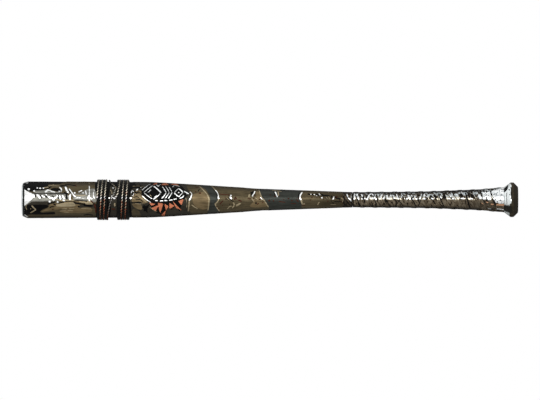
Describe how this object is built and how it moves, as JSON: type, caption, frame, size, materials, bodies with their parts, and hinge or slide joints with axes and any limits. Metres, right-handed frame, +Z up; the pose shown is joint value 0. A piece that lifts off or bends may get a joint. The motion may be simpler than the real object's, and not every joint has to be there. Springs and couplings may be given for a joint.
{
  "type": "baseball bat",
  "caption": "Worn aluminium baseball bat: drawn tube with a capped barrel and tapered handle, lapped tape grip, welded knob, and two black straps round the barrel, each bound with rusty steel wire.",
  "frame": {"origin": "centre of the knob's flat end face, on the bat's axis", "axes": "+X along the bat's axis, out of the knob's end (the bat lies along -X); +Z up; the camera of the picture looks along +Y"},
  "size_m": [0.864, 0.072, 0.072],
  "materials": {
    "tube_metal": "drawn aluminium tube under worn khaki, tan and slate camouflage paint, with bare bright patches, black grime and rust specks",
    "cap": "pale cast cap, semi-gloss, slightly domed",
    "black_rubber": "black moulded rubber",
    "strap_rubber": "black rubber strap, matt and grimy",
    "foam": "closed-cell damping foam",
    "knob_metal": "machined aluminium, blackened and worn",
    "weld_metal": "as-welded bead",
    "underwrap": "thin two-sided tape",
    "grip_tape": "crinkled glossy synthetic grip tape, silvery where it catches the light, brown in the folds",
    "collar_tape": "dark glossy finishing tape",
    "wire_steel": "twisted steel wire with grey mill scale and red-brown rust"
  },
  "bodies": {
    "root": {"barrel_shell": "tube_metal", "end_cap": "cap", "cap_gasket": "black_rubber", "barrel_foam": "foam", "handle_foam": "foam", "knob": "knob_metal", "knob_weld": "weld_metal", "knob_plug": "black_rubber", "grip_underwrap": "underwrap", "grip_wrap": "grip_tape", "grip_collar": "collar_tape", "strap_tip": "strap_rubber", "strap_grip": "strap_rubber", "wire_band_tip": "wire_steel", "wire_band_grip": "wire_steel"}
  },
  "joints": []
}
